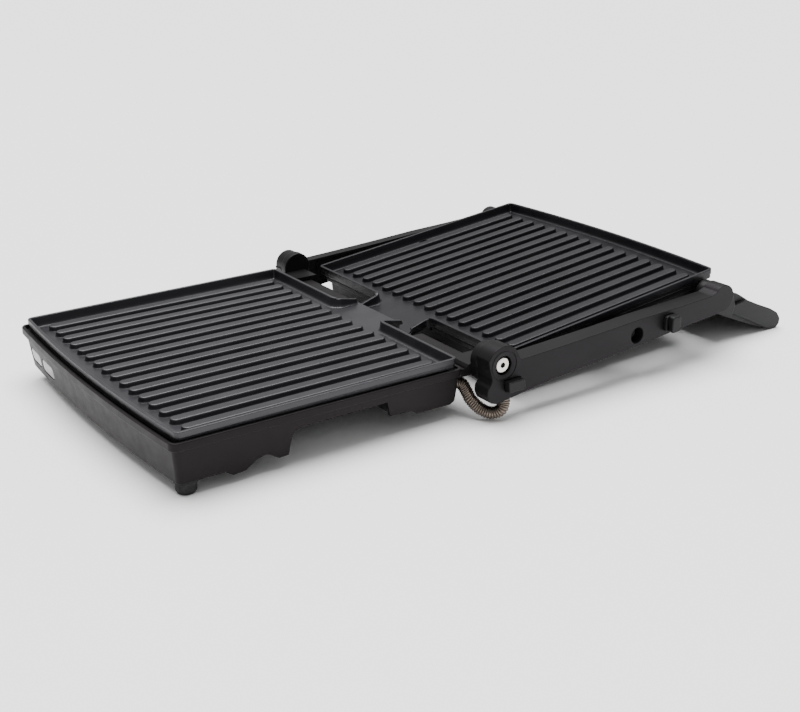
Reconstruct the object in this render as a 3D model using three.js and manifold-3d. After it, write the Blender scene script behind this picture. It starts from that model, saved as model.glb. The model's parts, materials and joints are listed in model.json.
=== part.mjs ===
// Panini press, opened flat into two grilling surfaces. Millimetres, +Z up, front towards -Y.
// The open lid lies behind the base, carried by two side arms that turn on a hinge behind the base.
import * as THREE from 'three';
import Module from 'manifold-3d';

const wasm = await Module();
wasm.setup();

// ---------------------------------------------------------------- driving dimensions
const TABLE = 56; // height of the lower plate's rim above the table
const PLATE = { width: 300, depth: 258, corner: 5, rim: 3, basin: 9.5, floor: 3.6, skirt: 9.2, inset: 6 };
const BOW = 6.5; // how far the free edge of each plate swells out in the middle
const RIBS = { count: 16, pitch: 17.5, base: 11.2, top: 8.8, height: 4.4, bow: 3.5 };
const LOWER_Y = 1; // front edge of the lower plate
const CASE = { half: 153.6, front: -4.5, back: 263, corner: 6.5, wall: 3, band: 6.8, step: 1.6, lean: 5.2 };
const HINGE = { y: 285.2, z: -4, boss: 14.4, hub: 17.2, hubLeft: 13.4 };
const ARM = { inner: 160, outer: 178, outerLeft: 171, wall: 2.6 };
const LID = { y: 309.7, z: -6.5, tilt: 6.31, housing: 41 }; // hinge-side rim of the open lid
const PIVOT = { y: 439.6, z: -10.6, bore: 7.4 };
const TIP = { y: 552, z: 1.8, r: 13.2 };
const KNOB = { y: 480, z: -6.2, baseY: 8, baseZ: 7.5, finY: 5.4, finZ: 7.6, out: 9.4 };
const BUTTON = { y: 295.4, z: -22.9, halfY: 9, halfZ: 4.7, out: 6 };
const FOOT = { r: 8.3, right: [136, 13], left: [-117, 15.5], rearX: 100, rearY: 233 };
const POSTS = [[-104, 24], [120, 24], [-120, 238], [120, 238]]; // where the pan is screwed on
const SPOUT = { half: 38, wall: 3, end: 283.9 };
const CONDUIT = { r: 5.6, sides: 12, steps: 34 };
const GAP = 0.3;

// ---------------------------------------------------------------- materials
const material = (color, roughness, metalness = 0) =>
  new THREE.MeshStandardMaterial({ color, roughness, metalness });
const FINISH = {
  charcoal: () => material(0x2e2c30, 0.62),
  coated: () => material(0x1d1d20, 0.45, 0.2),
  pan: () => material(0x29292b, 0.6, 0.3),
  rubber: () => material(0x19191a, 0.9),
  steel: () => material(0xb9b9b6, 0.3, 0.9),
  conduit: () => material(0x8f8579, 0.4, 0.85),
  sheet: () => material(0x9c9d9f, 0.45, 0.8),
  element: () => material(0x5b5551, 0.55, 0.7),
  lens: () => material(0xb4b0ac, 0.35),
  board: () => material(0x8b6a3c, 0.7),
  ceramic: () => material(0xe4ded2, 0.7),
};

// ---------------------------------------------------------------- solid helpers
function toSolid(geometry) {
  const g = geometry.index ? geometry.toNonIndexed() : geometry;
  const xyz = g.getAttribute('position').array;
  const seen = new Map();
  const points = [];
  const index = [];
  for (let i = 0; i < xyz.length; i += 3) {
    const p = [xyz[i], xyz[i + 1], xyz[i + 2]].map((v) => Math.round(v * 1e5) / 1e5 + 0);
    const key = p.join(' ');
    if (!seen.has(key)) {
      seen.set(key, seen.size);
      points.push(...p);
    }
    index.push(seen.get(key));
  }
  const tris = [];
  for (let i = 0; i < index.length; i += 3) {
    const [a, b, c] = index.slice(i, i + 3);
    if (a !== b && b !== c && c !== a) tris.push(a, b, c);
  }
  const mesh = new wasm.Mesh({
    numProp: 3,
    vertProperties: new Float32Array(points),
    triVerts: new Uint32Array(tris),
  });
  return new wasm.Manifold(mesh);
}
function toGeometry(solid) {
  const mesh = solid.getMesh();
  const geometry = new THREE.BufferGeometry();
  const xyz = new Float32Array((mesh.vertProperties.length / mesh.numProp) * 3);
  for (let i = 0, j = 0; i < mesh.vertProperties.length; i += mesh.numProp) {
    for (let k = 0; k < 3; k += 1) xyz[j++] = mesh.vertProperties[i + k];
  }
  geometry.setAttribute('position', new THREE.BufferAttribute(xyz, 3));
  geometry.setIndex(new THREE.BufferAttribute(new Uint32Array(mesh.triVerts), 1));
  return geometry;
}
const join = (first, ...rest) => rest.reduce((a, b) => a.add(b), first);
const cut = (first, ...rest) => rest.reduce((a, b) => a.subtract(b), first);
const meet = (first, ...rest) => rest.reduce((a, b) => a.intersect(b), first);

function outline(points) {
  const shape = new THREE.Shape();
  points.forEach(([a, b], i) => (i ? shape.lineTo(a, b) : shape.moveTo(a, b)));
  shape.closePath();
  return shape;
}
function arcPoints(cx, cy, r, from, to, steps) {
  return Array.from({ length: steps + 1 }, (_, i) => {
    const t = THREE.MathUtils.degToRad(from + ((to - from) * i) / steps);
    return [cx + r * Math.cos(t), cy + r * Math.sin(t)];
  });
}
const circle = (cx, cy, r, steps = 24) => outline(arcPoints(cx, cy, r, 0, 360, steps).slice(0, -1));
function roundRect(x0, y0, x1, y1, r, steps = 4) {
  return outline([
    ...arcPoints(x1 - r, y0 + r, r, 270, 360, steps),
    ...arcPoints(x1 - r, y1 - r, r, 0, 90, steps),
    ...arcPoints(x0 + r, y1 - r, r, 90, 180, steps),
    ...arcPoints(x0 + r, y0 + r, r, 180, 270, steps),
  ]);
}
// a rounded rectangle about x = 0 whose front edge swells forward in the middle
function bowedRect(half, y0, y1, r, steps = 4) {
  const front = Array.from({ length: 15 }, (_, i) => [(half - r) * ((i + 1) / 8 - 1), y0]);
  const corners = [
    ...arcPoints(half - r, y0 + r, r, 270, 360, steps),
    ...arcPoints(half - r, y1 - r, r, 0, 90, steps),
    ...arcPoints(-half + r, y1 - r, r, 90, 180, steps),
    ...arcPoints(-half + r, y0 + r, r, 180, 270, steps),
  ];
  const swell = (x) => BOW * Math.max(0, 1 - (x / (PLATE.width / 2)) ** 2);
  return outline([...corners, ...front].map(([x, y]) => [x, y < (y0 + y1) / 2 ? y - swell(x) : y]));
}
// an outline in X,Y raised from z0 to z1
function slab(shape, z0, z1) {
  const g = new THREE.ExtrudeGeometry(shape, { depth: z1 - z0, bevelEnabled: false, curveSegments: 6 });
  return toSolid(g.translate(0, 0, z0));
}
// an outline in Y,Z carried along X from x0 to x1
function prism(shape, x0, x1) {
  const g = new THREE.ExtrudeGeometry(shape, { depth: x1 - x0, bevelEnabled: false, curveSegments: 6 });
  g.applyMatrix4(new THREE.Matrix4().set(0, 0, 1, x0, 1, 0, 0, 0, 0, 1, 0, 0, 0, 0, 0, 1));
  return toSolid(g);
}
// an outline in X,Y with its edges rounded over at the bottom
function dish(shape, z0, z1, bevel) {
  const g = new THREE.ExtrudeGeometry(shape, {
    depth: z1 - z0 + bevel,
    bevelEnabled: true,
    bevelThickness: bevel,
    bevelSize: bevel,
    bevelOffset: -bevel,
    bevelSegments: 4,
  });
  g.translate(0, 0, z0 + bevel);
  return meet(toSolid(g), block(-400, -400, z0 - 1, 400, 800, z1));
}
const block = (x0, y0, z0, x1, y1, z1) =>
  slab(outline([[x0, y0], [x1, y0], [x1, y1], [x0, y1]]), z0, z1);
const rodX = (y, z, r, x0, x1, steps = 28) => prism(circle(y, z, r, steps), x0, x1);
const rodZ = (x, y, r, z0, z1, steps = 24) => slab(circle(x, y, r, steps), z0, z1);
function rodY(x, z, r, y0, y1, steps = 20) {
  const g = new THREE.ExtrudeGeometry(circle(0, 0, r, steps), { depth: y1 - y0, bevelEnabled: false });
  g.rotateX(-Math.PI / 2).translate(x, y0, z);
  return toSolid(g);
}
function tube(points, r, sides, steps) {
  const path = new THREE.CatmullRomCurve3(points.map((p) => new THREE.Vector3(...p)));
  const ring = circle(0, 0, r, sides);
  return toSolid(new THREE.ExtrudeGeometry(ring, { steps, extrudePath: path, bevelEnabled: false }));
}
function moved(solid, matrix) {
  return toSolid(toGeometry(solid).applyMatrix4(matrix));
}
const mirrorX = (solid) => {
  const g = toGeometry(solid).toNonIndexed();
  const p = g.getAttribute('position');
  for (let i = 0; i < p.count; i += 3) {
    const [a, b, c] = [0, 1, 2].map((k) => new THREE.Vector3().fromBufferAttribute(p, i + k));
    [a, c, b].forEach((v, k) => p.setXYZ(i + k, -v.x, v.y, v.z));
  }
  return toSolid(g);
};

const pieces = [];
const put = (name, solid, finish) => pieces.push({ name, solid, finish });
function putPair(name, rightSolid, finish) {
  put(`${name}_right`, rightSolid, finish);
  put(`${name}_left`, mirrorX(rightSolid), finish);
}

// ---------------------------------------------------------------- the two grill plates
// Built with the rim at z = 0, the hinge side at y = depth, the free side at y = 0.
function grillPlate({ ribFrom, ribTo, spoutHalf, spoutEnd, tongueDrop, wallDrop }) {
  const { width, depth, corner, rim, basin, floor, skirt, inset } = PLATE;
  const half = width / 2;
  const flange = slab(bowedRect(half, 0, depth, corner), -2.4, 0);
  const sides = slab(bowedRect(half - 0.8, 0.8, depth - 0.8, corner - 0.8), -skirt, -2.2);
  const under = slab(bowedRect(half - inset, inset, depth - inset, 5), -basin - floor, -skirt + 0.2);
  let body = join(flange, sides, under);
  const basinShape = bowedRect(half - rim, rim, depth - rim, corner - rim);
  const basinFloor = bowedRect(half - rim - 2.4, rim + 2.4, depth - rim - 2.4, 4);
  body = cut(body, slab(basinShape, -4.5, 1), slab(basinFloor, -basin, -4));
  const { count, pitch, base, top, height, bow } = RIBS;
  for (let i = 0; i < count; i += 1) {
    const x = (i - (count - 1) / 2) * pitch;
    const from = ribFrom - bow * (1 - (x / half) ** 2);
    const low = roundRect(x - base / 2, from, x + base / 2, ribTo, base / 2 - 0.05, 3);
    const high = roundRect(x - top / 2, from + 2, x + top / 2, ribTo - 2, top / 2 - 0.05, 3);
    const rib = join(
      slab(low, -basin - 1, -basin + height * 0.6),
      slab(high, -basin, -basin + height),
    );
    body = body.add(rib);
  }
  // the pouring spout: an opening in the hinge-side rim and a tongue with low side walls
  const gate = block(-spoutHalf, depth - rim - 3, -basin, spoutHalf, depth + 1, 1);
  body = cut(body, gate);
  const tongue = outline([
    [depth - 9, -basin - 2.4], [spoutEnd, -basin - 2.4 - tongueDrop * 0.3],
    [spoutEnd, -basin - tongueDrop * 0.3], [depth - 9, -basin],
  ]);
  const wallSide = outline([
    [depth - 2.5, -basin - 2.2], [spoutEnd, -basin - 2.2 - tongueDrop * 0.3],
    [spoutEnd, -wallDrop - 2], [spoutEnd - 3, -wallDrop], [depth - 2.5, -0.6],
  ]);
  const outer = spoutHalf + SPOUT.wall;
  body = join(
    body,
    prism(tongue, -outer, outer),
    prism(wallSide, spoutHalf, outer),
    prism(wallSide, -outer, -spoutHalf),
  );
  return body;
}
const lowerPlate = grillPlate({
  ribFrom: 13.5, ribTo: 246, spoutHalf: SPOUT.half - SPOUT.wall, spoutEnd: SPOUT.end - LOWER_Y,
  tongueDrop: 0.6, wallDrop: 4.6,
});
const toLower = new THREE.Matrix4().makeTranslation(0, LOWER_Y, 0);
put('lower_grill_plate', moved(lowerPlate, toLower), 'coated');

// the lid's own frame: rim plane at z = 0, hinge side at y = depth, then turned round and tilted
const toLid = new THREE.Matrix4()
  .makeTranslation(0, LID.y, LID.z)
  .multiply(new THREE.Matrix4().makeRotationX(THREE.MathUtils.degToRad(LID.tilt)))
  .multiply(new THREE.Matrix4().makeRotationZ(Math.PI))
  .multiply(new THREE.Matrix4().makeTranslation(0, -PLATE.depth, 0));
const putLid = (name, solid, finish) => put(name, moved(solid, toLid), finish);
const upperPlate = grillPlate({
  ribFrom: 15, ribTo: 240, spoutHalf: SPOUT.half + 1.2, spoutEnd: PLATE.depth + 23.6,
  tongueDrop: 0, wallDrop: 3.6,
});
putLid('upper_grill_plate', upperPlate, 'coated');

// ---------------------------------------------------------------- heating parts, lower and upper
// A rod element bent in a loop under each plate; a thin shield sheet behind it.
function heatingElement() {
  const x = 104;
  const points = [
    [-30, 236, -27], [-30, 226, -17.4], [-52, 216, -17.4], [-x, 212, -17.4], [-x - 9, 200, -17.4],
    [-x - 9, 60, -17.4], [-x, 46, -17.4], [x, 46, -17.4], [x + 9, 60, -17.4], [x + 9, 200, -17.4],
    [x, 212, -17.4], [52, 216, -17.4], [30, 226, -17.4], [30, 236, -27],
  ];
  return tube(points, 3.2, 6, 54);
}
function heatShield() {
  const sheet = slab(roundRect(-134, 14, 134, 246, 6), -24.6, -23.6);
  const lip = cut(
    slab(roundRect(-134, 14, 134, 246, 6), -24.6, -19),
    slab(roundRect(-133, 15, 133, 245, 5), -23.8, -18),
  );
  const pillars = POSTS.map(([x, y]) => rodZ(x, y - LOWER_Y, 5.4, -26, -17, 16));
  for (const [x, y] of [FOOT.left, FOOT.right]) pillars.push(rodZ(x, y - LOWER_Y, 7.4, -26, -17, 16));
  return cut(
    join(sheet, lip),
    block(-42, 222, -26, 42, 250, -17),
    rodZ(0, 130, 3.4, -26, -20, 16),
    ...pillars,
  );
}
const thermostat = () =>
  join(rodZ(0, 130, 9, -20.6, -13.5, 20), rodZ(0, 130, 2.6, -28, -20.4, 12));
put('lower_heating_element', moved(heatingElement(), toLower), 'element');
put('lower_heat_shield', moved(heatShield(), toLower), 'sheet');
put('lower_thermostat', moved(thermostat(), toLower), 'ceramic');
putLid('upper_heating_element', heatingElement(), 'element');
putLid('upper_heat_shield', heatShield(), 'sheet');
putLid('upper_thermostat', thermostat(), 'ceramic');
put('thermal_fuse', rodX(150, -17.6, 2.6, 34, 60, 12), 'sheet');

// ---------------------------------------------------------------- base casing
const sideProfile = outline([
  [-20, 4], [-20, -43.9], [37, -43.9], [43.2, -48.6], [54.4, -47.8], [65.5, -40.5], [72, -39],
  [77, -40.5], [84.2, -45.4], [93, -45.1], [95.8, -31.2], [99.4, -25.1], [107.3, -23.1],
  [187.4, -23.1], [189.8, -36.2], [213.2, -37.7], [218.2, -41.5], [254.6, -42.1], [258.4, -39],
  [262, -18.6], [CASE.back + 1, -18.6], [CASE.back + 1, 4],
]);
const { half: caseHalf, front, back, corner: caseCorner, wall, step, lean } = CASE;
const caseOutline = (inset) => bowedRect(caseHalf - inset, front + inset, back - inset, caseCorner - inset);
// the casing's outline moved in, its front and sides leaning further in towards the bottom
function leaningShell(inset, z0 = -50, z1 = 0) {
  const g = new THREE.ExtrudeGeometry(caseOutline(inset), { depth: z1 - z0, bevelEnabled: false });
  g.translate(0, 0, z0);
  const p = g.getAttribute('position');
  const [halfHere, rear, length] = [caseHalf - inset, back - inset, back - front - 2 * inset];
  for (let i = 0; i < p.count; i += 1) {
    const in_ = (-lean * p.getZ(i)) / 50;
    p.setX(i, (p.getX(i) * (halfHere - in_)) / halfHere);
    p.setY(i, rear - ((rear - p.getY(i)) * (length - in_)) / length);
  }
  return toSolid(g);
}
// the top edge slopes gently down towards the hinge; the lip band follows it
const [topFront, topBack] = [-6.7, -9.4];
const topCut = prism(outline([[-20, topFront], [300, topBack], [300, 20], [-20, 20]]), -200, 200);
const bandCut = prism(outline([
  [-20, -60], [300, -60], [300, topBack - CASE.band], [-20, topFront - CASE.band],
]), -200, 200);
const bodyWall = meet(leaningShell(step), prism(sideProfile, -200, 200));
const lipBand = cut(slab(caseOutline(0), -30, 0), bandCut);
let casing = cut(join(bodyWall, lipBand), topCut);
const seat = -PLATE.skirt - GAP;
const wellShape = bowedRect(150.6, LOWER_Y - 0.6, LOWER_Y + PLATE.depth + 0.6, PLATE.corner + 0.6);
const plateWell = slab(wellShape, seat, 5);
const opening = slab(bowedRect(144.6, 6.4, 253.6, 5), -13.2, 5);
const spoutNotch = block(-SPOUT.half - 0.6, 244, -12.9, SPOUT.half + 0.6, back + 2, 5);
casing = cut(casing, plateWell, opening, spoutNotch, leaningShell(step + wall, -60, -12));

// two decks behind the plate carry the hinge bosses; grease falls between them
const deckProfile = outline([
  [259.4, -18.6], [259.4, -11.2], [287, -11.8], [290.5, -13.4], [290.5, -17], [288, -18.6],
]);
for (const side of [-1, 1]) {
  casing = join(casing, prism(deckProfile, ...[side * 60, side * 150].sort((a, b) => a - b)));
}

// lamp windows in the front wall, screw pillars, cable holes
const WINDOWS = [[-141.5, -113.5], [-109.5, -79]];
const [windowLow, windowHigh] = [-36.4, -24.2];
for (const [x0, x1] of WINDOWS) {
  casing = cut(casing, block(x0, front - 8, windowLow, x1, front + 12, windowHigh));
}
const beside = (x, reach, y, half, z0, z1) =>
  block(Math.min(x, Math.sign(x) * reach), y - half, z0, Math.max(x, Math.sign(x) * reach), y + half, z1);
for (const [x, y] of POSTS) {
  const pillar = rodZ(x, y, 4.6, -34.4, -13.5, 16);
  const rail = beside(x, 147.4, y, 1.5, -18.6, -13.5);
  casing = cut(join(casing, pillar, rail), rodZ(x, y, 2.1, -36, -17, 12));
}
for (const [x, y] of [FOOT.left, FOOT.right]) {
  const boss = join(rodZ(x, y, 6.2, -43.9, -13.5, 20), beside(x, 146.4, 12.6, 1.2, -40, -13.5));
  casing = cut(join(casing, boss), rodZ(x, y, 2.9, -46, -28, 12));
}
const conduitHole = { x: 140, z: -25.5 };
casing = cut(
  casing,
  rodY(conduitHole.x, conduitHole.z, 6.3, 250, 268, 16),
  rodY(-118, -28, 7.3, 250, 268, 16),
);
put('base_casing', casing, 'charcoal');

// hinge brackets: a flange on each deck and a boss beside it that takes the hinge bolt
const bossArm = outline([
  [273.2, -19.4], ...arcPoints(HINGE.y, HINGE.z, HINGE.boss, 185, 0, 10), [297, -12], [289, -20.4],
]);
const flangeFoot = outline([[266, -10.8], [268.6, -7.4], [293.6, -7.4], [297, -10.8]]);
const bracket = join(prism(bossArm, 150.4, 159.7), prism(flangeFoot, 128, 150.6));
putPair('hinge_bracket', cut(bracket, rodX(HINGE.y, HINGE.z, 4, 149, 162, 20)), 'charcoal');

// ---------------------------------------------------------------- pan, feet, terminals
let pan = join(
  slab(roundRect(-139, 8, 139, 254, 8), -36.2, -34.7),
  cut(
    slab(roundRect(-139, 8, 139, 254, 8), -36.2, -26),
    slab(roundRect(-137.6, 9.4, 137.6, 252.6, 6.6), -35, -20),
  ),
);
// the pan is cut back, with its own low rim, where the casing's sides are raised
const sideCut = block(118, 91, -40, 145, 194.5, -20);
const sideRim = join(
  block(116.6, 89.6, -36.2, 118, 195.9, -30.5),
  block(116.6, 89.6, -36.2, 138, 91, -30.5),
  block(116.6, 194.5, -36.2, 138, 195.9, -30.5),
);
pan = join(cut(pan, sideCut, mirrorX(sideCut)), sideRim, mirrorX(sideRim));
for (const [x, y] of POSTS) pan = cut(pan, rodZ(x, y, 2.4, -40, -30, 12));
for (let i = -3; i <= 3; i += 1) {
  pan = cut(pan, slab(roundRect(i * 24 - 3, 90, i * 24 + 3, 170, 2.9, 3), -40, -30));
}
for (const x of [-FOOT.rearX, FOOT.rearX]) pan = cut(pan, rodZ(x, FOOT.rearY, 3.3, -40, -30, 12));
for (const [x, y] of [FOOT.left, FOOT.right]) pan = cut(pan, rodZ(x, y, 7, -40, -20, 20));
pan = cut(pan, block(-141, 0, -40, FOOT.left[0], 14.4, -20));
pan = cut(pan, block(128, 240, -34.6, 150, 260, -20), block(-128, 244, -34.6, -106, 260, -20));
put('base_pan', pan, 'pan');
POSTS.forEach(([x, y], i) => {
  const screw = join(rodZ(x, y, 4, -38.6, -36.5, 16), rodZ(x, y, 1.8, -37, -20, 12));
  put(`pan_screw_${i + 1}`, cut(screw, block(x - 3, y - 0.5, -40, x + 3, y + 0.5, -37.7)), 'steel');
});
for (const side of ['right', 'left']) {
  const [x, y] = FOOT[side];
  const foot = join(
    rodZ(x, y, FOOT.r + 1.1, -47, -44.2, 28),
    rodZ(x, y, 2.5, -44.4, -30, 12),
    rodZ(x, y, FOOT.r, -TABLE + 1.2, -46.8, 28),
    rodZ(x, y, FOOT.r - 1, -TABLE, -54, 28),
  );
  put(`front_foot_${side}`, foot, 'rubber');
}
const rearFoot = join(
  rodZ(FOOT.rearX, FOOT.rearY, 9, -TABLE + 1.2, -36.5, 28),
  rodZ(FOOT.rearX, FOOT.rearY, 8, -TABLE, -54, 28),
  rodZ(FOOT.rearX, FOOT.rearY, 3, -37, -31, 12),
);
putPair('rear_foot', rearFoot, 'rubber');

let terminals = block(-96, 206, -34.2, -56, 222, -25.5);
for (let i = 0; i < 4; i += 1) terminals = cut(terminals, rodZ(-90.5 + i * 9.6, 214, 2.6, -31, -24, 10));
put('terminal_block', terminals, 'ceramic');
// each lens follows the wall: its face fills the window and its flange lies behind the wall
const between = (a, b) => cut(leaningShell(a), leaningShell(b, -60, 10));
WINDOWS.forEach(([x0, x1], i) => {
  const frame = (grow) => block(x0 - grow, -20, windowLow - grow, x1 + grow, 20, windowHigh + grow);
  const face = meet(between(step + 0.5, step + wall + 1.6), frame(-GAP));
  const flange = meet(between(step + wall + GAP, step + wall + 1.6), frame(1));
  put(i ? 'ready_lamp_lens' : 'power_lamp_lens', join(face, flange), 'lens');
});
put('lamp_board', block(-134, 6.1, -35, -82, 7.6, -25), 'board');

// strain-relief glands in the rear wall: a collar with a waist that sits in the wall's hole
function gland(x, z, hole, waist) {
  const wallFront = back - step - wall;
  return cut(
    join(
      rodY(x, z, hole + 2, back - step + GAP, back + 1),
      rodY(x, z, hole - GAP, wallFront - 3, back),
    ),
    rodY(x, z, waist, wallFront - 5, back + 5),
  );
}
put('mains_gland', gland(-118, -28, 7.3, 3.6), 'rubber');

// ---------------------------------------------------------------- arms
const armProfile = (hub, hubEnd) => outline([
  ...arcPoints(HINGE.y, HINGE.z, hub, 28, hubEnd, 14),
  [270.8, -5.6], [273.4, -13.9], [271.8, -18.9], [269.3, -21.8], [268.9, -27.1], [272.4, -34.3],
  [277.8, -36.6], [286, -36], [338, -29.2], [396, -24.6], [456, -19.8], [495, -15.8], [537, -13.2],
  ...arcPoints(TIP.y, TIP.z, TIP.r, -95, 142, 14),
  [532, 7.4], [492.6, 5.8], [442.3, 4.2], [394, 1.4], [348, -0.8], [304, -2.4],
]);
// the arms are hollow from the inner side, before and behind the lid pivot
const pocketFront = [
  [314, -28.6], [338, -26.2], [396, -21.6], [424, -19.2], [424, -0.6], [394, -1.8], [348, -4.1], [314, -5.6],
];
const pocketRear = [[455, -16.6], [495, -12.8], [537, -10], [537, 4], [492.6, 2.6], [455, 1.2]];
function armBody(outer, hub, hubEnd) {
  return cut(
    prism(armProfile(hub, hubEnd), ARM.inner, outer),
    prism(outline(pocketFront), ARM.inner - 1, outer - ARM.wall),
    prism(outline(pocketRear), ARM.inner - 1, outer - ARM.wall),
    rodX(HINGE.y, HINGE.z, 8.4, outer - 6, outer + 2, 32),
    rodX(HINGE.y, HINGE.z, 4.4, 158, outer + 2, 20),
    rodX(PIVOT.y, PIVOT.z, PIVOT.bore, 165.4, outer + 2, 28),
    rodX(PIVOT.y, PIVOT.z, 5.6, 158, outer + 2, 20),
    rodX(TIP.y, TIP.z, 4.3, 158, outer - 4, 20),
  );
}
// the near arm also houses the release button, the height knob and the conduit
function buttonOutline(grow) {
  const { y, z, halfY, halfZ } = BUTTON;
  const [w, h] = [halfY + grow, halfZ + grow];
  return outline([[y - w + 1, z - h], [y + w + 1, z - h + 0.3], [y + w - 1, z + h + 0.4], [y - w, z + h]]);
}
const conduitEnd = { x: 170, y: 291.6, z: -33 };
const rightArm = cut(
  armBody(ARM.outer, HINGE.hub, 158),
  prism(buttonOutline(0.5), 171, 180),
  rodX(BUTTON.y, BUTTON.z, 3.2, 162, 175, 16),
  rodX(KNOB.y, KNOB.z, 4.3, 174, 180, 20),
  rodZ(conduitEnd.x, conduitEnd.y, 6.5, -60, -30.5, 20),
);
put('arm_right', rightArm, 'charcoal');
put('arm_left', mirrorX(armBody(ARM.outerLeft, HINGE.hubLeft, 184)), 'charcoal');
// covers over the pockets, a hair smaller than the pockets they close
const shrunk = (points, y0, y1) => points.map(([y, z]) => [
  Math.min(Math.max(y, y0 + GAP), y1 - GAP), z > 0.06 * y - 36 ? z - GAP : z + GAP,
]);
const cover = (points, y0, y1) => prism(outline(shrunk(points, y0, y1)), ARM.inner, ARM.inner + 2);
putPair('arm_front_cover', cover(pocketFront, 314, 424), 'charcoal');
putPair('arm_rear_cover', cover(pocketRear, 455, 537), 'charcoal');

// hinge bolts: a stainless head with a hexagon socket, screwed into the bracket
const bolt = (outer) => cut(
  join(
    rodX(HINGE.y, HINGE.z, 6.6, outer - 4.8, outer - 1.4, 28),
    rodX(HINGE.y, HINGE.z, 3.6, 152, outer - 4, 16),
  ),
  rodX(HINGE.y, HINGE.z, 2.6, outer - 3.6, outer, 6),
);
put('hinge_bolt_right', bolt(ARM.outer), 'steel');
put('hinge_bolt_left', mirrorX(bolt(ARM.outerLeft)), 'steel');

// ---------------------------------------------------------------- release button and height knob
const button = join(
  prism(buttonOutline(0), 174.6, ARM.outer + BUTTON.out),
  rodX(BUTTON.y, BUTTON.z, 2.8, 166, 175, 16),
);
put('release_button', button, 'charcoal');
const knobBlock = (halfY, halfZ, r) =>
  roundRect(KNOB.y - halfY, KNOB.z - halfZ, KNOB.y + halfY, KNOB.z + halfZ, r);
const knob = join(
  prism(knobBlock(KNOB.baseY, KNOB.baseZ, 4), ARM.outer + GAP, ARM.outer + 3.8),
  prism(knobBlock(KNOB.finY, KNOB.finZ, 3), ARM.outer + 3.6, ARM.outer + KNOB.out),
  rodX(KNOB.y, KNOB.z, 4, ARM.outer - 3, ARM.outer + 1, 20),
);
put('height_knob', knob, 'charcoal');

// ---------------------------------------------------------------- handle
// a thick bar with a hollow underside; its ends are cut back above and below
const gripCrest = [[618, -20], [631, -26], [647, -32.6], [658.6, -39.2], [664.2, -46.4], [663.8, -51.4]];
const gripHeel = [[660, -54.8], [652.8, -55.6]];
const gripBody = outline([
  [575, -25.8], [575, -3.2], [588.5, -5.6], [599, -8.6], [607, -13.2], ...gripCrest, ...gripHeel,
  [643, -53.6], [611, -40.8], [588, -31.2],
].reverse());
const gripEnd = outline([
  [577.6, -20.6], [600.4, -18.2], [611.9, -17.2], ...gripCrest, ...gripHeel,
  [644.5, -52.8], [618.4, -39.8], [602.5, -32.3],
].reverse());
const bayRoof = outline([
  [582, -60], [582, -8.6], [588, -9.6], [598, -12.8], [607, -17.4], [618, -24], [631, -30], [646, -36.6],
  [646, -60],
].reverse());
let handle = join(prism(gripBody, -154, 154), prism(gripEnd, -158, 158));
const bays = 6;
const bayWidth = 292 / bays;
for (let i = 0; i < bays; i += 1) {
  const x0 = -146 + i * bayWidth + 1.3;
  handle = cut(handle, prism(bayRoof, x0, x0 + bayWidth - 2.6));
}
const lug = prism(outline([
  ...arcPoints(TIP.y, TIP.z, TIP.r - 1, 62, 250, 12), [564.4, -20.6], [588, -30.8], [592, -18],
  [588, -6.4], [573, -2.2],
]), 151.8, 159.6);
const drilledLug = cut(lug, rodX(TIP.y, TIP.z, 4.3, 140, 170, 20));
handle = join(handle, drilledLug, mirrorX(drilledLug));
put('handle_grip', handle, 'charcoal');
// blind pins join the grip's lugs to the arms; their ends are turned down
const handlePin = (outer) => join(
  rodX(TIP.y, TIP.z, 4, 152.8, outer - 5.4, 20),
  rodX(TIP.y, TIP.z, 3.2, 152.2, outer - 4.6, 20),
);
put('handle_pin_right', handlePin(ARM.outer), 'steel');
put('handle_pin_left', mirrorX(handlePin(ARM.outerLeft)), 'steel');

// ---------------------------------------------------------------- lid housing and pivots
const lidOutline = (grow) => bowedRect(144 + grow, 6 - grow, 252 + grow, 9 + grow, 5);
const housingTop = -PLATE.skirt - GAP;
const lidShell = cut(
  dish(lidOutline(0), -LID.housing, housingTop, 7),
  dish(lidOutline(-2.6), -LID.housing + 2.8, housingTop + 5, 5.4),
  slab(bowedRect(144.6, 5.4, 252.6, 5.6), -PLATE.basin - PLATE.floor - GAP, 5),
);
const housingRim = cut(
  slab(lidOutline(4.6), -14.4, housingTop),
  slab(bowedRect(144.3, 5.7, 252.3, 5), -20, 5),
);
const lidPivot = new THREE.Vector3(0, PIVOT.y, PIVOT.z).applyMatrix4(toLid.clone().invert());
const bossRight = cut(
  rodX(lidPivot.y, lidPivot.z, 9, 141.8, 159.5, 24),
  rodX(lidPivot.y, lidPivot.z, 2.6, 148, 162, 14),
);
let lidBody = join(lidShell, housingRim);
for (const boss of [bossRight, mirrorX(bossRight)]) lidBody = join(lidBody, boss);
lidBody = cut(lidBody, slab(bowedRect(144.3, 5.7, 252.3, 5), -PLATE.basin - PLATE.floor - GAP, 5));
const tongueGate = block(-42.6, 244, -PLATE.basin - 2.8, 42.6, 262, 5);
lidBody = cut(lidBody, block(-151, -10, housingTop, 151, PLATE.depth, 5), tongueGate);
putLid('upper_housing', lidBody, 'charcoal');
const pivotScrew = join(
  rodX(PIVOT.y, PIVOT.z, 6.8, 165.8, 168.6, 24),
  rodX(PIVOT.y, PIVOT.z, 5.2, 160, 166, 20),
  rodX(PIVOT.y, PIVOT.z, 2.2, 149, 161, 12),
);
putPair('lid_pivot_screw', cut(pivotScrew, rodX(PIVOT.y, PIVOT.z, 2, 167, 170, 6)), 'steel');

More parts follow.
